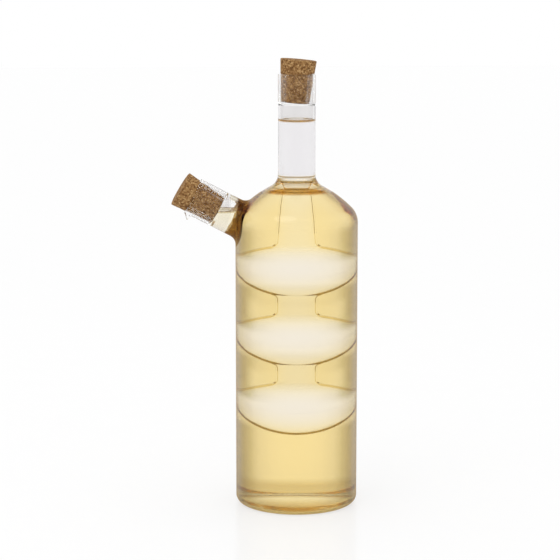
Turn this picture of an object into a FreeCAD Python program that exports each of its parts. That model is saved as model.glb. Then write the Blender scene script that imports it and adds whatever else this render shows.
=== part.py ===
"""Two-in-one oil and vinegar bottle: one piece of blown glass that holds two liquids.

A straight glass body carries oil.  Inside it hangs a second vessel, a tube with three
flattened bulbs one above the other, fused to the body only at the foot of the neck, so the
neck fills the bulbs with vinegar.  A short spout welded to the shoulder pours the oil.
Both mouths are closed by tapered corks.

Frame: millimetres, origin on the bottle's axis in the plane it stands on, Z up, the spout
towards -X.
"""
import math
import os

import FreeCAD
import Part

# ---- body ------------------------------------------------------------------------------
BODY_R = 35.0            # outside radius of the straight body
BODY_WALL = 1.8          # its wall
BEND_Z = 163.9           # height at which the straight wall starts to bend inwards
BEND_R = 12.0            # radius of that bend, in section
BEND_TURN = 45.0         # degrees the bend turns through before the dome takes over
DOME_R = 70.0            # radius of the dome between bend and neck, in section
NECK_FILLET = 8.0        # hollow curve between dome and neck

# ---- foot ------------------------------------------------------------------------------
HEEL_R = 4.5             # rounded edge between body and standing ring
RING_W = 8.0             # width of the flat standing ring
PUNT_H = 4.0             # height of the hollow under the foot
FLOOR_T = 2.4            # floor of the bottle, domed over that hollow

# ---- neck and spout, drawn from one size of tube ------------------------------------------
TUBE_R = 10.7
TUBE_WALL = 1.4
MOUTH_Z = 248.5          # top of the neck
MOUTH_ROUND = 0.6        # fire-polished edges of both mouths
SPOUT_RISE = 27.6        # degrees the spout rises from level
SPOUT_Z = 148.7          # height at which the spout's axis meets the bottle's axis
SPOUT_LENGTH = 67.0      # from there to the spout's mouth
SPOUT_WELD_R = 6.0       # hollow curve of the weld round the spout
SPOUT_HOLE_R = 5.5       # hole through the body's wall behind the spout
LIP_OUT = 3.1            # how far the pouring lip stands out under the spout's mouth
LIP_LENGTH = 4.7
LIP_BACK = 3.3           # its edge curls back by this from the mouth
LIP_TRIM_R = 6.0         # radius that trims the lip to a crescent

# ---- inner vessel ------------------------------------------------------------------------
VESSEL_WALL = 1.35
BULB_COUNT = 3
BULB_PITCH = 40.0
LOWEST_BULB_Z = 59.0     # height of the lowest bulb's widest place
BULB_R = 26.0            # outside radius of a bulb there
BULB_LOW = 17.2          # depth of a bulb below its widest place
BULB_LOW_SIDE_R = 13.0   # section radius of its side below
BULB_HIGH = 14.0         # height of a bulb above its widest place
BULB_HIGH_SIDE_R = 8.0   # section radius of its side above
WAIST_R = 8.5            # outside radius of the tube between bulbs
WAIST_FILLET_R = 3.0     # hollow curve where tube and bulb run together
STEM_R = 7.05            # outside radius of the stem above them, at its narrowest
STEM_DROP = 14.7         # how far that place lies below the neck's root
STEM_TAPER = 3.5         # degrees each side of the stem widens by below it
FLARE_R = 16.9           # section radius of the flare that joins the neck

# ---- fill levels -------------------------------------------------------------------------
OIL_Z = 182.0
SPOUT_OIL_Z = 171.5
VINEGAR_Z = 222.3

# ---- corks -------------------------------------------------------------------------------
CORK_SMALL_R = 8.2
CORK_LARGE_R = 10.4
CORK_LENGTH = 24.3
CORK_EDGE = 0.4
CORK_OUT = 8.0           # how far each stands out of its mouth
NECK_CORK_LEAN = 5.0     # degrees each leans in its mouth
SPOUT_CORK_LEAN = 3.6

BORE_R = TUBE_R - TUBE_WALL
UP = FreeCAD.Vector(0, 0, 1)
ZERO = FreeCAD.Vector(0, 0, 0)
SPOUT_DIR = FreeCAD.Vector(-math.cos(math.radians(SPOUT_RISE)), 0,
                           math.sin(math.radians(SPOUT_RISE)))
SPOUT_FOOT = FreeCAD.Vector(0, 0, SPOUT_Z)


def at(r, z):
    """Point of a section, r from the axis and z above the table."""
    return FreeCAD.Vector(r, 0, z)


def line(a, b):
    return Part.LineSegment(a, b).toShape()


def arc(centre, radius, start, end):
    """Arc of a section between two angles in degrees, measured from +X towards +Z."""
    turn = [math.radians(start + (end - start) * k / 2) for k in range(3)]
    a, b, c = (at(centre.x + radius * math.cos(t), centre.z + radius * math.sin(t))
               for t in turn)
    return Part.Arc(a, b, c).toShape()


def ends(edge):
    return edge.valueAt(edge.FirstParameter), edge.valueAt(edge.LastParameter)


def turned(edges):
    """Solid of revolution about Z from edges that run from the axis back to the axis.

    Gaps between consecutive edges are bridged with straight lines.
    """
    closed = []
    for edge in edges:
        if closed and (ends(closed[-1])[1] - ends(edge)[0]).Length > 1e-6:
            closed.append(line(ends(closed[-1])[1], ends(edge)[0]))
        closed.append(edge)
    closed.append(line(ends(closed[-1])[1], ends(closed[0])[0]))
    return Part.Face(Part.Wire(closed)).revolve(ZERO, UP, 360)


def along_spout(s):
    return SPOUT_FOOT + SPOUT_DIR * s


def spout_rod(radius, start, stop):
    return Part.makeCylinder(radius, stop - start, along_spout(start), SPOUT_DIR)


def shoulder(offset, stop_x):
    """Bend and dome of the shoulder, moved inwards by offset, up to radius stop_x."""
    bend = at(BODY_R - BEND_R, BEND_Z)
    turn = math.radians(BEND_TURN)
    reach = DOME_R - BEND_R
    dome = at(bend.x - reach * math.cos(turn), bend.z - reach * math.sin(turn))
    last = math.degrees(math.acos((stop_x - dome.x) / (DOME_R - offset)))
    return dome, [arc(bend, BEND_R - offset, 0, BEND_TURN),
                  arc(dome, DOME_R - offset, BEND_TURN, last)]


def neck_root():
    """Centre of the hollow curve between dome and neck, and the angle of its lower end."""
    dome = shoulder(0, TUBE_R)[0]
    hollow_x = TUBE_R + NECK_FILLET
    reach = DOME_R + NECK_FILLET
    lean = math.degrees(math.acos((hollow_x - dome.x) / reach))
    return dome, at(hollow_x, dome.z + reach * math.sin(math.radians(lean))), lean


def punt():
    """Hollow under the foot, part of a sphere: its edge, radius and half angle."""
    edge = BODY_R - HEEL_R - RING_W
    punt_r = (edge ** 2 + PUNT_H ** 2) / (2 * PUNT_H)
    return edge, punt_r, math.degrees(math.asin(edge / punt_r))


def outer_form():
    """Everything inside the outside surface of body and neck."""
    ring_out = BODY_R - HEEL_R
    ring_in, punt_r, punt_turn = punt()
    dome, hollow, lean = neck_root()
    touch_x = dome.x + DOME_R * math.cos(math.radians(lean))
    bend, over = shoulder(0, touch_x)[1]
    form = turned([
        arc(at(0, PUNT_H - punt_r), punt_r, 90, 90 - punt_turn),
        arc(at(ring_out, HEEL_R), HEEL_R, -90, 0),
        bend, over,
        arc(hollow, NECK_FILLET, 180 + lean, 180),
        line(at(TUBE_R, MOUTH_Z), at(0, MOUTH_Z))])
    return form


def body_cavity():
    """Space inside the body's wall, before the inner vessel is put in."""
    inner_r = BODY_R - BODY_WALL
    punt_r = punt()[1]
    under = at(0, PUNT_H - punt_r)
    floor_r = punt_r + FLOOR_T
    # radius of the curve that touches the domed floor, the wall and the level FLOOR_T
    reach = inner_r + PUNT_H
    curve_r = reach - math.sqrt(reach ** 2 - inner_r ** 2 - (FLOOR_T - under.z) ** 2
                                + floor_r ** 2)
    corner = at(inner_r - curve_r, FLOOR_T + curve_r)
    lean = math.degrees(math.atan2(corner.z - under.z, corner.x))
    bend, over = shoulder(BODY_WALL, STEM_R)[1]
    top = ends(over)[1]
    return turned([
        arc(under, floor_r, 90, lean),
        arc(corner, curve_r, lean - 180, 0),
        bend, over,
        line(top, at(0, top.z))])


def oval(half_width, height, side_r):
    """Flat arc that completes a quarter oval: its radius, and where it meets the side arc.

    A side arc of radius side_r is centred half_width - side_r from the axis; the flat arc
    is centred on the axis and touches it.  The meeting place is an angle in degrees.
    """
    reach = half_width - side_r
    flat_r = (reach ** 2 + height ** 2 - side_r ** 2) / (2 * (height - side_r))
    return flat_r, math.degrees(math.atan2(flat_r - height, reach))


def bulb(z, inset):
    """One flattened bulb round height z, its surface moved inwards by inset."""
    low_r, low_turn = oval(BULB_R, BULB_LOW, BULB_LOW_SIDE_R)
    high_r, high_turn = oval(BULB_R, BULB_HIGH, BULB_HIGH_SIDE_R)
    low_side = at(BULB_R - BULB_LOW_SIDE_R, z)
    high_side = at(BULB_R - BULB_HIGH_SIDE_R, z)
    return turned([
        arc(at(0, z - BULB_LOW + low_r), low_r - inset, -90, -low_turn),
        arc(low_side, BULB_LOW_SIDE_R - inset, -low_turn, 0),
        arc(high_side, BULB_HIGH_SIDE_R - inset, 0, high_turn),
        arc(at(0, z + BULB_HIGH - high_r), high_r - inset, high_turn, 90)])


def tube(inset, top_z):
    """Tube through the bulbs, its stem and flare, and a neck up to top_z."""
    upper_bulb_z = LOWEST_BULB_Z + (BULB_COUNT - 1) * BULB_PITCH
    flare = at(STEM_R + FLARE_R, neck_root()[1].z - STEM_DROP)
    flare_r = FLARE_R + inset
    neck_r = TUBE_R - (TUBE_WALL if inset else 0)
    mouth = math.degrees(math.acos((neck_r - flare.x) / flare_r))
    opening = arc(flare, flare_r, 180 + STEM_TAPER, mouth)
    start = ends(opening)[0]
    foot_r = start.x + (start.z - upper_bulb_z) * math.tan(math.radians(STEM_TAPER))
    waist_r = WAIST_R - inset
    edges = [line(at(0, LOWEST_BULB_Z), at(waist_r, LOWEST_BULB_Z)),
             line(at(waist_r, LOWEST_BULB_Z), at(waist_r, upper_bulb_z)),
             line(at(foot_r, upper_bulb_z), start), opening]
    top = ends(opening)[1]
    edges.append(line(top, at(neck_r, top_z)))
    edges.append(line(at(neck_r, top_z), at(0, top_z)))
    return turned(edges)


def inner_vessel(inset, top_z):
    """The hanging vessel and the neck up to top_z, its surface moved inwards by inset."""
    bulbs = [bulb(LOWEST_BULB_Z + k * BULB_PITCH, inset) for k in range(BULB_COUNT)]
    form = tube(inset, top_z).fuse(bulbs).removeSplitter().Solids[0]
    top = LOWEST_BULB_Z + (BULB_COUNT - 1) * BULB_PITCH + BULB_HIGH
    rings = []
    for edge in form.Edges:
        t0, t1 = edge.FirstParameter, edge.LastParameter
        points = [edge.valueAt(t0 + (t1 - t0) * k / 4) for k in range(5)]
        radii = [math.hypot(p.x, p.y) for p in points]
        level = max(abs(p.z - points[0].z) for p in points) < 1e-6
        if level and 0 < max(radii) < WAIST_R + 1.5 and points[0].z < top \
                and max(radii) - min(radii) < 1e-6 and edge.Length > WAIST_R:
            rings.append(edge)
    return form.makeFillet(WAIST_FILLET_R + inset, rings)


def rim_edges(shape, centre, axis, radius):
    """Edges of shape that lie on the circle of that centre, axis and radius."""
    found = []
    for edge in shape.Edges:
        t0, t1 = edge.FirstParameter, edge.LastParameter
        for k in range(4):
            p = edge.valueAt(t0 + (t1 - t0) * k / 3) - centre
            if abs(p.dot(axis)) > 1e-4 or abs(p.Length - radius) > 1e-4:
                break
        else:
            found.append(edge)
    return found


def to_spout(shape, s):
    """Put a shape drawn on the Z axis onto the spout, its origin s along the spout."""
    turn = FreeCAD.Rotation(UP, SPOUT_DIR)
    moved = shape.copy()
    moved.Placement = FreeCAD.Placement(along_spout(s), turn).multiply(moved.Placement)
    return moved


def spout_lip():
    """Pouring lip: a flange under the mouth, curled back and trimmed to a crescent."""
    wire = Part.makePolygon([at(TUBE_R - 0.4, 0), at(TUBE_R, 0),
                             at(TUBE_R + LIP_OUT, -LIP_BACK), at(TUBE_R, -LIP_LENGTH),
                             at(TUBE_R - 0.4, -LIP_LENGTH), at(TUBE_R - 0.4, 0)])
    flange = Part.Face(wire).revolve(ZERO, UP, 360)
    lowest = to_spout(Part.Vertex(1, 0, 0), 0).Point - SPOUT_FOOT
    side = 1 if lowest.z < 0 else -1
    centre = side * (TUBE_R + LIP_OUT - LIP_TRIM_R)
    trim = Part.makeCylinder(LIP_TRIM_R, LIP_LENGTH + 2, at(centre, -LIP_LENGTH - 1),
                             UP)
    return to_spout(flange.common(trim), SPOUT_LENGTH)


def weld_edges(shape, body):
    """Edges where the spout's tube meets the outside of the body."""
    found = []
    for edge in shape.Edges:
        t0, t1 = edge.FirstParameter, edge.LastParameter
        on = True
        for k in range(5):
            p = edge.valueAt(t0 + (t1 - t0) * (k + 0.5) / 5)
            s = (p - SPOUT_FOOT).dot(SPOUT_DIR)
            off = (p - along_spout(s)).Length
            if abs(off - TUBE_R) > 1e-3 or s < BODY_R * 0.5 or s > SPOUT_LENGTH - 3:
                on = False
                break
            if body.distToShape(Part.Vertex(p))[0] > 1e-3:
                on = False
                break
        if on:
            found.append(edge)
    return found


def seated(shape, lean):
    """Lean a shape whose inner end is at z = 0 in a mouth at z = 0, against its -X side."""
    depth = CORK_LENGTH - CORK_OUT
    moved = shape.copy()
    moved.translate(at(0, -depth))
    moved.rotate(ZERO, FreeCAD.Vector(0, 1, 0), lean)
    moved.translate(at(CORK_SMALL_R - BORE_R + depth * math.sin(math.radians(lean)), 0))
    return moved


def cork(lean):
    """Tapered cork, squeezed to the bore below the mouth and wider above it."""
    cone = Part.makeCone(CORK_SMALL_R, CORK_LARGE_R, CORK_LENGTH)
    rims = (rim_edges(cone, ZERO, UP, CORK_SMALL_R)
            + rim_edges(cone, at(0, CORK_LENGTH), UP, CORK_LARGE_R))
    cone = cone.makeFillet(CORK_EDGE, rims)
    wall = Part.makeCylinder(3 * BORE_R, 2 * CORK_LENGTH, at(0, -2 * CORK_LENGTH)).cut(
        Part.makeCylinder(BORE_R, 2 * CORK_LENGTH, at(0, -2 * CORK_LENGTH)))
    return seated(cone, lean).cut(wall)


# ---- glass -------------------------------------------------------------------------------
body = outer_form()
cavity = body_cavity()
vessel = inner_vessel(0, MOUTH_Z)
chamber = cavity.cut(vessel)

spout_mouth = along_spout(SPOUT_LENGTH)
neck_mouth = at(0, MOUTH_Z)
outside = body.fuse(spout_rod(TUBE_R, 0.4 * BODY_R, SPOUT_LENGTH))
outside = outside.makeFillet(SPOUT_WELD_R, weld_edges(outside, body))
outside = outside.makeFillet(MOUTH_ROUND, rim_edges(outside, spout_mouth, SPOUT_DIR, TUBE_R)
                             + rim_edges(outside, neck_mouth, UP, TUBE_R))
outside = outside.fuse(spout_lip())

bore = spout_rod(BORE_R, 0.5 * BODY_R, SPOUT_LENGTH).cut(body)
hole = spout_rod(SPOUT_HOLE_R, 0.5 * BODY_R, BODY_R * 1.35).cut(cavity)
bore = max(bore.fuse(hole).removeSplitter().Solids, key=lambda s: s.BoundBox.XLength)
glass = outside.cut([chamber.copy(), bore.copy()])
glass = glass.cut(inner_vessel(VESSEL_WALL, MOUTH_Z))
for mouth, axis in ((neck_mouth, UP), (spout_mouth, SPOUT_DIR)):
    glass = glass.makeFillet(MOUTH_ROUND, rim_edges(glass, mouth, axis, BORE_R))

# ---- liquids -----------------------------------------------------------------------------
half = 4 * BODY_R
below_oil = Part.makeBox(half, half, OIL_Z, FreeCAD.Vector(-half / 2, -half / 2, 0))
below_spout = Part.makeBox(half, half, SPOUT_OIL_Z, FreeCAD.Vector(-half / 2, -half / 2, 0))
behind_cork = seated(Part.makeCylinder(3 * BORE_R, 3 * CORK_LENGTH), SPOUT_CORK_LEAN)
in_spout = bore.copy().common(below_spout).cut(to_spout(behind_cork, SPOUT_LENGTH))
oil = chamber.copy().common(below_oil).fuse(in_spout).removeSplitter()
vinegar = inner_vessel(VESSEL_WALL, VINEGAR_Z)

# ---- corks -------------------------------------------------------------------------------
neck_cork = cork(NECK_CORK_LEAN)
neck_cork.translate(FreeCAD.Vector(0, 0, MOUTH_Z))
spout_cork = to_spout(cork(SPOUT_CORK_LEAN), SPOUT_LENGTH)

NODES = {"glass_bottle": glass, "oil": oil, "vinegar": vinegar,
         "neck_cork": neck_cork, "spout_cork": spout_cork}

os.makedirs("parts", exist_ok=True)
for name, shape in NODES.items():
    solids = shape.Solids
    print(name, "solids", len(solids), "valid", shape.isValid(),
          "volume %.0f" % shape.Volume, "faces", len(shape.Faces))
    (solids[0] if len(solids) == 1 else shape).exportStep("parts/%s.step" % name)
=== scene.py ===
import math

import bmesh
import bpy
import numpy as np
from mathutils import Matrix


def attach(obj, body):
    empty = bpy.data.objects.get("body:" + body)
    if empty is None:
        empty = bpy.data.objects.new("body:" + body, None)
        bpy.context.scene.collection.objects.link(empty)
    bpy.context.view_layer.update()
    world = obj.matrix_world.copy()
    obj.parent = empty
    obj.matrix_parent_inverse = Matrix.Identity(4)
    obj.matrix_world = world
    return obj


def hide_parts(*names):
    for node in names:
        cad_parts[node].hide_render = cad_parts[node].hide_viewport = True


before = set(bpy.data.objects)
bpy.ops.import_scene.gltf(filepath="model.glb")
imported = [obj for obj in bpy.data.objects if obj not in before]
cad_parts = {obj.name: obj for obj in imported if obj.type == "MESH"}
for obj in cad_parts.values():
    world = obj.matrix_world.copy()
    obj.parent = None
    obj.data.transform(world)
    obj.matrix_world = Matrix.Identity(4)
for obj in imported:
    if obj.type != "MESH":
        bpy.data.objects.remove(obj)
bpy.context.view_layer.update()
scene = bpy.context.scene


# Studio: a pale lacquered table top under an even white sky, one broad soft lamp from the upper
# left, and the camera a little above the bottle. Nothing here belongs to the part.
class Value:
    """A socket of a node tree. Maths on it adds Math nodes, and node() adds any other node."""

    def __init__(self, tree, socket=None):
        self.tree, self.socket = tree, socket

    def node(self, kind, settings=None, sockets=None, output=0):
        """Adds a node: its settings, or a ramp's stops, first, then socket values and links."""
        node = self.tree.nodes.new("ShaderNode" + kind)
        for name, setting in (settings or {}).items():
            if name == "stops":
                stops = node.color_ramp.elements
                while len(stops) < len(setting):
                    stops.new(0.5)
                for stop, (place, colour) in zip(stops, setting):
                    stop.position, stop.color = place, (*colour, 1)
            else:
                setattr(node, name, setting)
        for name, value in (sockets or {}).items():
            socket = node.inputs[name]
            if isinstance(value, Value):
                self.tree.links.new(value.socket, socket)
            elif socket.type == "RGBA":
                socket.default_value = (*value, 1)
            else:
                socket.default_value = value
        return Value(self.tree, node.outputs[output] if len(node.outputs) else None)

    def maths(self, operation, a, b=0.0):
        return self.node("Math", {"operation": operation}, {0: a, 1: b})

    def __add__(self, other):
        return self.maths("ADD", self, other)

    def __radd__(self, other):
        return self.maths("ADD", other, self)

    def __sub__(self, other):
        return self.maths("SUBTRACT", self, other)

    def __rsub__(self, other):
        return self.maths("SUBTRACT", other, self)

    def __mul__(self, other):
        return self.maths("MULTIPLY", self, other)

    def __rmul__(self, other):
        return self.maths("MULTIPLY", other, self)

    def __truediv__(self, other):
        return self.maths("DIVIDE", self, other)

    def __rtruediv__(self, other):
        return self.maths("DIVIDE", other, self)

    def __pow__(self, other):
        return self.maths("POWER", self, other)

    def __rpow__(self, other):
        return self.maths("POWER", other, self)

    def __gt__(self, other):
        return self.maths("GREATER_THAN", self, other)

    def __lt__(self, other):
        return self.maths("LESS_THAN", self, other)

    def __abs__(self):
        return self.maths("ABSOLUTE", self)

    def most(self, other):
        return self.maths("MAXIMUM", self, other)

    def least(self, other):
        return self.maths("MINIMUM", self, other)

    def rise(self, start, end):
        """0 up to start and 1 from end on, with a smooth slope between them."""
        return self.node("MapRange", {"interpolation_type": "SMOOTHSTEP"},
                         {"Value": self, "From Min": start, "From Max": end})

    def colours(self, *stops):
        """The colour at this value, from stops of (value, colour)."""
        return self.node("ValToRGB", {"stops": stops}, {"Fac": self})

    def mix(self, low, high):
        """Colour low where this value is 0, and colour high where it is 1."""
        return self.node("Mix", {"data_type": "RGBA"}, {0: self, 6: low, 7: high}, 2)

    def blend(self, low, high):
        """Shader low where this value is 0, and shader high where it is 1."""
        return self.node("MixShader", None, {0: self, 1: low, 2: high})


def fresh(owner):
    """The emptied node tree of a material or a world."""
    owner.use_nodes = True
    owner.node_tree.nodes.clear()
    return Value(owner.node_tree)


def millimetres(shade):
    """Object coordinates in mm: the position, then x, y, z and r = sqrt(x^2 + y^2)."""
    spot = shade.node("TexCoord", output="Object")
    spot = spot.node("VectorMath", {"operation": "SCALE"}, {0: spot, "Scale": 1000.0})
    x, y, z = (spot.node("SeparateXYZ", None, {0: spot}, axis) for axis in "XYZ")
    return spot, x, y, z, (x * x + y * y) ** 0.5


table_half = 4.0
corners = [(-1, -1, 0), (1, -1, 0), (1, 1, 0), (-1, 1, 0)]
table_mesh = bpy.data.meshes.new("table_top")
table_mesh.from_pydata((np.array(corners) * table_half).tolist(), [], [(0, 1, 2, 3)])
table_top = bpy.data.objects.new("table_top", table_mesh)
scene.collection.objects.link(table_top)
table_mesh.materials.append(bpy.data.materials.new("pale_table"))
shade = fresh(table_mesh.materials[0])
spot = millimetres(shade)[0]
cloud = shade.node("TexNoise", None, {"Vector": spot, "Scale": 0.04})
lacquer = shade.node("BsdfPrincipled", None, {
    "Base Color": cloud.mix((0.90, 0.90, 0.90), (0.93, 0.93, 0.93)), "Roughness": 0.16})
lit = shade.node("Emission", None, {"Color": (1, 1, 1), "Strength": 1.0})
seen = shade.node("LightPath", output="Is Camera Ray")
seen = seen.most(shade.node("LightPath", output="Is Transmission Ray"))
shade.node("OutputMaterial", None, {"Surface": (seen * 0.68).blend(lacquer, lit)})

scene.world = bpy.data.worlds.new("white_sky")
shade = fresh(scene.world)
sky = shade.node("Background", None, {"Color": (1, 1, 1), "Strength": 1.0})
shade.node("OutputWorld", None, {"Surface": sky})

lamp = bpy.data.lights.new("soft_lamp", "AREA")
lamp.shape, lamp.size, lamp.energy = "DISK", 0.9, 3.0
soft_lamp = bpy.data.objects.new("soft_lamp", lamp)
soft_lamp.location = (-0.5, -0.7, 1.3)
soft_lamp.rotation_euler = (math.radians(33), 0, math.radians(-36))
scene.collection.objects.link(soft_lamp)

lens = bpy.data.cameras.new("camera")
lens.lens, lens.sensor_width = 133.07, 36.0
camera = bpy.data.objects.new("camera", lens)
camera.location = (-0.10145, -1.16802, 0.32660)
camera.rotation_euler = (math.radians(80.5), 0, math.radians(-4.5))
scene.collection.objects.link(camera)
scene.camera = camera
scene.view_settings.view_transform = "Standard"
scene.cycles.max_bounces = 40
scene.cycles.transmission_bounces = 40
scene.cycles.glossy_bounces = 16
scene.cycles.transparent_max_bounces = 64


# Bottle: one piece of clear blown laboratory glass. Body, neck and spout are drawn tube, the
# inner vessel and the spout are welded in, and painted shade tints the glass at the spout's weld
# brown.
# Glass wetted by a liquid lets light straight through, and the liquid's own side bends it.
body_r, body_wall = 35.0, 1.8
tube_r, tube_wall = 10.7, 1.4
corner_r, corner_z, dome_r = 12.0, 163.9, 70.0
corner_x = body_r - corner_r
dome_x = corner_x - (dome_r - corner_r) * math.sqrt(0.5)
dome_z = corner_z - (dome_r - corner_r) * math.sqrt(0.5)
floor_z, floor_r = -61.28, 67.68
spout_z, spout_rise, spout_length = 148.7, math.radians(27.6), 67.0
cork_in = 16.3
vinegar_level, spout_oil_level = 221.5, 170.9

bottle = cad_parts["glass_bottle"]
clear_glass = bpy.data.materials.new("clear_glass")
shade = fresh(clear_glass)
spot, x, y, z, r = millimetres(shade)

# The outer skin, told from the wetted inner side by surfaces that run in the thickness of the wall.
dome = ((r - dome_x) ** 2 + (z - dome_z).most(0) ** 2) ** 0.5 - (dome_r - 1.1)
under = (floor_r - 1.18) - (r * r + (z - floor_z) ** 2) ** 0.5
skin = (r - (body_r - 1.0)).most(dome.least(r - (tube_r - 0.7))).most(under).most(1.9 - z) > 0
along = (z - spout_z) * math.sin(spout_rise) - x * math.cos(spout_rise)
across = (z - spout_z) * math.cos(spout_rise) + x * math.sin(spout_rise)
from_spout = (across * across + y * y) ** 0.5
in_bore = (from_spout < tube_r - 0.7) * (x < -25) * (along < spout_length - cork_in - 0.1)
in_oil = in_bore * (z < spout_oil_level + 0.7)
wetted = (1 - skin).most(in_oil) * (z < vinegar_level + 1.4)

# Painted shade: the glass is tinted darker from the middle of each form to its edge, by how far it
# faces away, and lighter in the middle of the waists.
facing = shade.node("LayerWeight", None, {"Blend": 0.5}, "Facing")
edge_shade_at_oil = facing.colours(
    (0.0, (1, 1, 1)), (0.05, (0.99, 0.985, 0.975)), (0.116, (0.93, 0.912, 0.874)),
    (0.24, (0.775, 0.748, 0.68)), (0.37, (0.47, 0.42, 0.26)), (0.5, (0.29, 0.235, 0.11)),
    (0.64, (0.195, 0.155, 0.085)), (0.75, (0.20, 0.17, 0.14)), (0.85, (0.24, 0.22, 0.23)),
    (1.0, (0.28, 0.26, 0.28)))
edge_shade_at_shoulder = facing.colours(
    (0.0, (1, 1, 1)), (0.40, (1, 1, 1)), (0.46, (0.96, 0.93, 0.85)),
    (0.52, (0.82, 0.75, 0.57)), (0.60, (0.36, 0.28, 0.14)), (0.72, (0.25, 0.19, 0.10)),
    (1.0, (0.32, 0.28, 0.24)))
edge_shade_at_bulb = facing.colours(
    (0.0, (1, 1, 1)), (0.15, (0.97, 0.96, 0.94)), (0.3, (0.88, 0.85, 0.80)),
    (0.39, (0.75, 0.70, 0.63)), (0.6, (0.545, 0.49, 0.356)), (1.0, (0.40, 0.37, 0.34)))
edge_shade_at_tube = facing.colours(
    (0.0, (0.87, 0.86, 0.86)), (0.2, (0.89, 0.88, 0.88)), (0.45, (0.83, 0.82, 0.82)),
    (0.8, (0.74, 0.73, 0.74)), (1.0, (0.60, 0.59, 0.60)))
from_bulb = shade.maths("PINGPONG", z - 58.5, 20.0)
bulb = (1 - from_bulb.rise(5.0, 10.0)) * (z > 40) * (z < 160)
waist = from_bulb.rise(12, 18) * (z > 70) * (z < 130)
tube = ((z > 190) * (r < 12)).most((from_spout < 12) * (x < -38))
edge_shade_at_oil = (waist * (1 - facing.rise(0.2, 0.5)) * 0.9).mix(edge_shade_at_oil, (0.84, 0.82, 0.77))
painted_shade_tint = z.rise(160, 170).mix(bulb.mix(edge_shade_at_oil, edge_shade_at_bulb), edge_shade_at_shoulder)
painted_shade_tint = tube.mix(painted_shade_tint, edge_shade_at_tube)
# Painted shade at the heel: the glass below z 10.5 mm is tinted dark olive.
heel_shade = 1 - z.rise(4.5, 10.5)
painted_shade_tint = (heel_shade * 0.65).mix(painted_shade_tint, (0.48, 0.375, 0.15))
# Painted shade: two dark brown lines on the ring at the neck's root, at r 15.15 and 17.65 mm; the
# ring also gets a small bump.
shaded_weld_ring = (1 - abs(abs(r - 16.4) - 1.25).rise(0.2, 0.55)) * (z > 176) * (z < 186) * skin
painted_shade_tint = (shaded_weld_ring * 0.85).mix(painted_shade_tint, (0.46, 0.34, 0.14))
# Painted shade round the weld of the spout: the glass is tinted dark brown up to a ragged edge.
ragged = shade.node("TexNoise", None, {"Vector": spot, "Scale": 0.35, "Detail": 3.0})
reach = r + across * 0.4 + ragged * 3.0
spout_weld_shade = (from_spout < 14.5) * (0 - x).rise(26, 29) * (1 - reach.rise(38.8, 39.4))
painted_shade_tint = spout_weld_shade.mix(painted_shade_tint, (0.36, 0.225, 0.07))

ring = shade.node("Bump", None, {"Strength": 0.5, "Distance": 0.0002, "Height": shaded_weld_ring})
clear = shade.node("BsdfPrincipled", None, {
    "Base Color": painted_shade_tint, "Roughness": 0.0, "IOR": 1.474, "Transmission Weight": 1.0,
    "Normal": ring})
cream = shade.node("BsdfTransparent", None, {"Color": (0.985, 0.955, 0.87)})
golden = shade.node("BsdfTransparent", None, {"Color": (0.46, 0.35, 0.17)})
brown = shade.node("BsdfTransparent", None, {"Color": (0.44, 0.285, 0.095)})
olive = shade.node("BsdfTransparent", None, {"Color": (0.66, 0.53, 0.26)})
edge_shade_olive = shade.node("BsdfTransparent", None, {"Color": (0.60, 0.48, 0.27)})
straight_on = shade.node("BsdfTransparent", None, {"Color": (1, 1, 1)})
# Painted light and shade at the neck's root: most light passes straight through there, cream, which
# paints the band lighter, and a golden line at z 187.5 to 189 mm and the weld ring's lines are
# painted shade.
shaded_neck_line = z.rise(187.2, 187.8) * (1 - z.rise(188.6, 189.2))
neck_root = z.rise(181.2, 182.6) * 0.9 * (1 - z.rise(189.0, 191.0))
neck_root = neck_root * (r < 34) * (1 - facing.rise(0.55, 0.78))
even = (shaded_weld_ring * 0.85).blend(shaded_neck_line.blend(cream, golden), golden)
outer = (neck_root * skin).blend(clear, even)
# Painted shade round the weld of the spout, let through brown.
outer = (spout_weld_shade * skin * 0.8).blend(outer, brown)
# Painted shade at the heel, let through olive.
outer = (heel_shade * skin * 0.22).blend(outer, olive)
# Painted shade: the body's edges, where the glass faces away, are let through dark olive.
edge = facing.rise(0.64, 0.90) * (r > 20) * (x > -36) * 0.6
outer = (edge * skin).blend(outer, edge_shade_olive)
at_cork = ((z > 231) * (r < 12)).most((from_spout < 12) * (along > 49.5))
outer = (at_cork * (1 - facing.rise(0.66, 0.92)) * 0.8).blend(outer, straight_on)
shade.node("OutputMaterial", None, {"Surface": wetted.blend(outer, straight_on)})
for held in bottle.material_slots:
    held.material = clear_glass


# Oil in the body: golden olive oil poured in through the spout. It fills the body round the
# inner vessel up to the neck, and reaches 0.3 mm into the glass on every side.
into_wall = 0.3
vessel_wall = 1.35
bore_r = tube_r - tube_wall
inner_r = body_r - body_wall
heel_x, heel_z = 24.41, 11.19
flare_x, flare_z, flare_r, flare_taper = 23.95, 177.03, 16.9, math.radians(3.5)
bulb_r, waist_r, hollow_r = 26.0, 8.5, 3.0
low_height, low_side_r = 17.2, 13.0
high_height, high_side_r = 14.0, 8.0
bulbs_z, bulb_pitch = (59.0, 99.0, 139.0), 40.0


def arc(x, z, radius, start, end):
    """Arc of a section: (x + radius cos t, z + radius sin t), t in degrees, a point per 0.45 mm."""
    steps = max(5, int(abs(math.radians(end - start)) * radius / 0.45) + 2)
    t = np.radians(np.linspace(start, end, steps))
    return np.column_stack([x + radius * np.cos(t), z + radius * np.sin(t)])


def straight(a, b, step=0.8):
    """Line of a section from a to b: a (1 - u) + b u, with a point every step."""
    a, b = np.array(a, float), np.array(b, float)
    u = np.linspace(0, 1, max(2, int(np.linalg.norm(b - a) / step) + 1))[:, None]
    return a * (1 - u) + b * u


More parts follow.
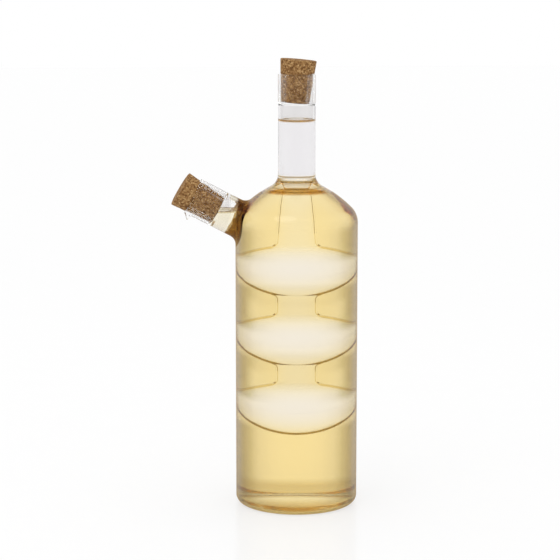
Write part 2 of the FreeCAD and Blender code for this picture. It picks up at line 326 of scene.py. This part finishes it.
def joined(*parts):
    """One section from several, without the doubled points where they meet."""
    points = np.vstack(parts)
    keep = np.ones(len(points), bool)
    keep[1:] = np.linalg.norm(np.diff(points, axis=0), axis=1) > 1e-4
    return points[keep]


def flat_arc(height, side_r):
    """A bulb's flat arc: its radius R, and the angle at which it touches the side arc.

    The flat arc's centre is on the axis, R - height below the top, and the side arc's centre
    lies at reach = bulb_r - side_r, so (R - side_r)^2 = reach^2 + (R - height)^2.
    """
    reach = bulb_r - side_r
    radius = (reach ** 2 + height ** 2 - side_r ** 2) / (2 * (height - side_r))
    return radius, math.degrees(math.atan2(radius - height, reach))


def vessel_section(inset, top_z):
    """Section of the inner vessel moved inwards by inset, from its bottom up to top_z.

    A bulb is a flat and a side arc below and above. A hollow arc with its centre one radius off
    the waist, and at the sum of the radii from the flat arc's centre, joins them to the waist.
    """
    low_r, low_turn = flat_arc(low_height, low_side_r)
    high_r, high_turn = flat_arc(high_height, high_side_r)
    hollow, waist, flare = hollow_r + inset, waist_r - inset, flare_r + inset
    foot = (flare_x - flare * math.cos(flare_taper), flare_z - flare * math.sin(flare_taper))
    parts = []
    for z in bulbs_z:
        low, high = z - low_height + low_r, z + high_height - high_r
        lean = 90
        if z > bulbs_z[0]:
            reach = math.sqrt((low_r - inset + hollow) ** 2 - (waist + hollow) ** 2)
            lean = math.degrees(math.atan2(reach, waist + hollow))
            parts.append(arc(waist + hollow, low - reach, hollow, 180, 180 - lean))
        parts += [arc(0, low, low_r - inset, -lean, -low_turn),
                  arc(bulb_r - low_side_r, z, low_side_r - inset, -low_turn, 0),
                  arc(bulb_r - high_side_r, z, high_side_r - inset, 0, high_turn)]
        centre, end = waist + hollow, 180
        if z == bulbs_z[-1]:
            end += math.degrees(flare_taper)
            for _ in range(20):
                rise = math.sqrt((high_r - inset + hollow) ** 2 - centre ** 2)
                centre = (foot[0] + (foot[1] - high - rise) * math.tan(flare_taper)
                          + hollow / math.cos(flare_taper))
        reach = math.sqrt((high_r - inset + hollow) ** 2 - centre ** 2)
        lean = math.degrees(math.atan2(reach, centre))
        parts += [arc(0, high, high_r - inset, high_turn, lean),
                  arc(centre, high + reach, hollow, 180 + lean, end)]
        if z < bulbs_z[-1]:
            parts.append(straight(parts[-1][-1], (waist, z + bulb_pitch / 2)))
    neck_r = tube_r if inset < vessel_wall / 2 else bore_r + vessel_wall - inset
    opening = math.degrees(math.acos((neck_r - flare_x) / flare))
    above_the_level = 240
    parts += [straight(parts[-1][-1], foot),
              arc(flare_x, flare_z, flare, 180 + math.degrees(flare_taper), opening)]
    parts.append(straight(parts[-1][-1], (neck_r, above_the_level)))
    section = joined(*parts)
    return section[section[:, 1] < top_z]


def solid(name, points, faces):
    """A piece from points in mm, smooth except at edges of more than 35 degrees."""
    mesh = bpy.data.meshes.new(name)
    mesh.from_pydata((points * 0.001).tolist(), [], faces)
    mesh.shade_smooth()
    mesh.set_sharp_from_angle(angle=math.radians(35))
    piece = bpy.data.objects.new(name, mesh)
    scene.collection.objects.link(piece)
    return piece


def rings(count, around, first=0):
    """Faces between rings of points: ring j starts at point first + j around."""
    k = np.arange(around)
    row = first + np.arange(count - 1)[:, None] * around
    ahead = (k + 1) % around
    return np.stack([row + k, row + ahead, row + around + ahead, row + around + k],
                    -1).reshape(-1, 4)


def capped(name, grid, ends, around):
    """A closed piece from rings of points, and a fan to one point beyond each end ring."""
    k = np.arange(around)
    ahead, pole, last = (k + 1) % around, len(grid) + 0 * k, len(grid) - around
    faces = rings(len(grid) // around, around).tolist()
    faces += np.stack([pole, ahead, k], -1).tolist()
    faces += np.stack([pole + 1, last + k, last + ahead], -1).tolist()
    return solid(name, np.vstack([grid, ends]), faces)


def turned(name, section, around=144):
    """Solid of revolution: section point (r, z) at angle a is (r cos a, r sin a, z).

    Both ends of the section lie on the axis and become one point each.
    """
    r, z = section[1:-1].T[:, :, None]
    a = np.arange(around) * 2 * np.pi / around
    grid = np.stack([r * np.cos(a), r * np.sin(a), z + 0 * a], -1).reshape(-1, 3)
    return capped(name, grid, [(0, 0, section[0, 1]), (0, 0, section[-1, 1])], around)


def liquid_side(shade, ratio, dark, light, z):
    """Side of a liquid in glass, of ratio times the glass's index.

    Light that grazes it is thrown back as a painted reflection, dark below each bulb's widest place
    and light above.
    """
    bent = shade.node("BsdfRefraction", None, {"Color": (1, 1, 1), "Roughness": 0.0, "IOR": ratio})
    dark = shade.node("BsdfGlossy", None, {"Color": dark, "Roughness": 0.0})
    light = shade.node("BsdfGlossy", None, {"Color": light, "Roughness": 0.0})
    first_foot = bulbs_z[0] - bulb_pitch / 2
    upper = shade.maths("FRACT", (z - first_foot) / bulb_pitch) > 0.5
    share = shade.node("Fresnel", None, {"IOR": ratio})
    return share.blend(bent, upper.blend(dark, light))


wall_r = inner_r + into_wall
under_lean = math.degrees(math.atan2(heel_z - floor_z, heel_x))
dome_oil_r = dome_r - body_wall + into_wall
crown_z = 184.0
for _ in range(60):
    crown_r = flare_x - math.sqrt((flare_r + into_wall) ** 2 - (crown_z - flare_z) ** 2)
    crown_z = dome_z + math.sqrt(dome_oil_r ** 2 - (crown_r - dome_x) ** 2)
crown_turn = math.degrees(math.asin((crown_z - dome_z) / dome_oil_r))
body_side = joined(arc(0, floor_z, floor_r - into_wall, 90, under_lean),
                   arc(heel_x, heel_z, inner_r - heel_x + into_wall, under_lean - 180, 0),
                   straight((wall_r, heel_z), (wall_r, corner_z), 4.0),
                   arc(corner_x, corner_z, corner_r - body_wall + into_wall, 0, 45),
                   arc(dome_x, dome_z, dome_oil_r, 45, crown_turn))
body_oil = turned("oil_in_body", joined(body_side, vessel_section(into_wall, crown_z)[::-1]))

olive_oil = bpy.data.materials.new("olive_oil")
shade = fresh(olive_oil)
spot, x, y, z, r = millimetres(shade)
side = liquid_side(shade, 0.986, (0.52, 0.40, 0.12), (0.80, 0.70, 0.42), z)
surface = shade.node("BsdfPrincipled", None, {
    "Base Color": (0.55, 0.45, 0.26), "Roughness": 0.0, "IOR": 1.47, "Transmission Weight": 1.0})
free = (z > spout_oil_level - 0.1) * (x < -30)
depth = shade.node("VolumeAbsorption", None, {"Color": (0.958, 0.752, 0.02), "Density": 17.0})
shade.node("OutputMaterial", None, {"Surface": free.blend(side, surface), "Volume": depth})
body_oil.data.materials.append(olive_oil)
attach(body_oil, "root")
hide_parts("oil")


# Oil in the spout: the same oil stands level in the tilted spout, behind the cork. It wets
# the glass, so that its surface climbs a little at the wall all round.
cork_small_r, spout_lean = 8.2, 3.6
cork_shift = bore_r - cork_small_r
meniscus = 1.3


def level_in_spout(name, level, climb, around=96, count=40):
    """Liquid in the slanting bore, as two sheets over the bore's round section.

    A line along the spout through section point (across, up) starts where it leaves the body,
    at x^2 + across^2 = body_r^2, and stops at the cork or at z = level + climb exp(-d / meniscus),
    d being the distance from the wall. Where it would stop before its start, the sheets meet.
    """
    liquid_r, lean = bore_r + into_wall, math.radians(spout_lean)
    k = np.arange(around)
    rho = np.append(0, np.repeat(liquid_r * np.sqrt(np.arange(1, count + 1) / count), around))
    a = np.append(0, np.tile(k * 2 * np.pi / around, count))
    across, up = rho * np.cos(a), rho * np.sin(a)
    x0, z0 = up * math.sin(spout_rise), spout_z + up * math.cos(spout_rise)
    start = (x0 + np.sqrt(body_r ** 2 - across ** 2)) / math.cos(spout_rise) - into_wall
    stop = (level + climb * np.exp(-(liquid_r - rho) / meniscus) - z0) / math.sin(spout_rise)
    cork = spout_length - cork_in * math.cos(lean) - (up + cork_shift) * math.tan(lean)
    stop = np.maximum(np.minimum(stop, cork), start)
    points = [np.column_stack([x0 - s * math.cos(spout_rise), across, z0 + s * math.sin(spout_rise)])
              for s in (start, stop)]
    wet = stop > start + 1e-6
    ahead, far, edge = (k + 1) % around, len(rho), 1 + (count - 1) * around
    sheet = rings(count, around, 1)
    hub = np.stack([0 * k, 1 + ahead, 1 + k], -1)
    wall = np.stack([edge + k, edge + ahead, far + edge + ahead, far + edge + k], -1)
    faces = wall[wet[edge + k] | wet[edge + ahead]].tolist()
    for part in (sheet, hub):
        part = part[wet[part].any(1)]
        faces += part.tolist() + (far + part[:, ::-1]).tolist()
    piece = solid(name, np.vstack(points), faces)
    weld = bmesh.new()
    weld.from_mesh(piece.data)
    bmesh.ops.remove_doubles(weld, verts=weld.verts, dist=2e-6)
    loose = [v for v in weld.verts if not v.link_faces]
    bmesh.ops.delete(weld, geom=loose, context="VERTS")
    bmesh.ops.recalc_face_normals(weld, faces=weld.faces)
    weld.to_mesh(piece.data)
    weld.free()
    return piece


spout_oil = level_in_spout("oil_in_spout", spout_oil_level, 1.0)
spout_oil.data.materials.append(olive_oil)
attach(spout_oil, "root")
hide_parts("oil")


# Vinegar: pale wine vinegar that fills the three bulbs, the stem and most of the neck. Its
# surface is hollow, since it wets the narrow tube and climbs 1.6 mm at the wall.
climb = 1.6
vessel_side = vessel_section(vessel_wall - into_wall, vinegar_level + climb)
rim_r = vessel_side[-1, 0]
reach = rim_r * (0.5 + 0.5 * np.cos(np.linspace(0, np.pi, 60)))
hollow_top = np.column_stack([reach, vinegar_level + climb * np.exp(-(rim_r - reach) / meniscus)])
vinegar = turned("wine_vinegar", joined(vessel_side, hollow_top))

vinegar.data.materials.append(bpy.data.materials.new("pale_vinegar"))
shade = fresh(vinegar.data.materials[0])
spot, x, y, z, r = millimetres(shade)
side = liquid_side(shade, 0.972, (0.42, 0.30, 0.06), (0.85, 0.75, 0.48), z)
surface = shade.node("BsdfPrincipled", None, {
    "Base Color": (0.80, 0.76, 0.68), "Roughness": 0.0, "IOR": 1.44, "Transmission Weight": 1.0})
free = z > vinegar_level - 0.1
depth = shade.node("VolumeAbsorption", None, {"Color": (0.60, 0.50, 0.72), "Density": 4.2})
shade.node("OutputMaterial", None, {"Surface": free.blend(side, surface), "Volume": depth})
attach(vinegar, "root")
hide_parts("vinegar")


# Neck cork: a tapered stopper of pressed cork granules, pushed 16 mm into the neck and leaning
# 5 degrees. A thin film of air stays between it and the glass.
mouth_z, neck_lean = 248.5, 5.0
cork_length, cork_spread, cork_edge, air_film = 24.3, 2.2, 0.4, 0.25


def pressed_cork(name, lean, seed, seat):
    """Tapered stopper in a mouth at z = 0, then put in its place by seat.

    Radius 8.2 + 2.2 h / 24.3 at height h, rounded by 0.4 mm at both ends, less a granule field:
    random heights of the surface, blurred over 0.3 mm, pit it by up to 0.3 mm. It leans against
    the -X side of the bore, and below the mouth it stays an air film away from the bore.
    """
    around, rows, cap_rows = 180, 150, 14
    girth = 58
    chance = np.random.default_rng(seed)
    wave = np.sqrt((np.fft.fftfreq(around)[None, :] * around / girth) ** 2
                   + (np.fft.fftfreq(rows)[:, None] * rows / cork_length) ** 2)
    field = np.fft.ifft2(np.fft.fft2(chance.normal(size=(rows, around)))
                         * np.exp(-(wave * 1.4) ** 2)).real
    pits = np.clip(field / field.std() - 0.6, 0, 2.4) * 0.12
    h = np.linspace(0, cork_length, rows)
    off_edge = np.clip(cork_edge - np.minimum(h, cork_length - h), 0, cork_edge)
    rounding = cork_edge - np.sqrt(np.clip(cork_edge ** 2 - off_edge ** 2, 0, 1))
    r = (cork_small_r + cork_spread * h / cork_length - rounding)[:, None] - 0.08 - pits
    cap = np.linspace(0.02, 0.985, cap_rows)[:, None]
    radius = np.vstack([r[0] * cap, r, r[-1] * cap[::-1]])
    dents = np.clip(chance.normal(size=(cap_rows, around)) - 0.5, 0, 2) * 0.10
    heights = np.vstack([dents, np.repeat(h[:, None], around, 1), cork_length - dents])
    a = np.arange(around) * 2 * np.pi / around
    x, y, z = radius * np.cos(a), radius * np.sin(a), heights - cork_in
    turn = math.radians(lean)
    x, z = (x * math.cos(turn) + z * math.sin(turn) - cork_shift + cork_in * math.sin(turn),
            -x * math.sin(turn) + z * math.cos(turn))
    off, room = np.sqrt(x * x + y * y), bore_r - air_film
    squeeze = np.where((z < 0.1) & (off > room), room / np.maximum(off, 1e-6), 1.0)
    points = seat(np.stack([x * squeeze, y * squeeze, z], -1).reshape(-1, 3))
    return capped(name, points, [points[:around].mean(0), points[-around:].mean(0)], around)


cork = bpy.data.materials.new("pressed_cork")
shade = fresh(cork)
spot = millimetres(shade)[0]
granules = {"Vector": spot, "Scale": 1.15}
grains = shade.node("TexVoronoi", {"feature": "F1"}, granules, "Color")
grain = shade.node("SeparateColor", None, {0: grains})
edges = shade.node("TexVoronoi", {"feature": "DISTANCE_TO_EDGE"}, granules)
fine = shade.node("TexNoise", None, {"Vector": spot, "Scale": 2.6, "Detail": 4.0})
broad = shade.node("TexNoise", None, {"Vector": spot, "Scale": 0.5, "Detail": 1.0})
tone = grain * 0.55 + fine * 0.75 + broad * 0.3 - 0.22
bark = tone.colours((0.22, (0.085, 0.035, 0.010)), (0.38, (0.19, 0.088, 0.027)),
                    (0.55, (0.30, 0.155, 0.055)), (0.72, (0.40, 0.225, 0.085)),
                    (0.92, (0.60, 0.39, 0.18)))
gap = 1 - edges.rise(0.0, 0.10)
bark = (gap * 0.45).mix(bark, (0.10, 0.045, 0.014))
relief = shade.node("Bump", None, {
    "Strength": 0.6, "Distance": 0.0003, "Height": fine * 0.6 + edges * 0.8})
rough = shade.node("BsdfPrincipled", None, {
    "Base Color": bark, "Roughness": 0.9, "Normal": relief, "Specular IOR Level": 0.2})
shade.node("OutputMaterial", None, {"Surface": rough})

neck_stopper = pressed_cork("neck_stopper", neck_lean, 7, lambda p: p + np.array([0, 0, mouth_z]))
neck_stopper.data.materials.append(cork)
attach(neck_stopper, "root")
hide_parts("neck_cork")


# Spout cork: the same stopper of the same pressed cork, pushed as far into the slanting spout
# and leaning 3.6 degrees to its lower side.
def along_the_spout(points):
    """From a mouth at z = 0 to the spout's: z along (-cos, sin) of its rise, x square to it."""
    x, y, z = points.T
    c, s = math.cos(spout_rise), math.sin(spout_rise)
    out = z + spout_length
    return np.column_stack([x * s - out * c, y, spout_z + x * c + out * s])


spout_stopper = pressed_cork("spout_stopper", spout_lean, 11, along_the_spout)
spout_stopper.data.materials.append(cork)
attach(spout_stopper, "root")
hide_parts("spout_cork")
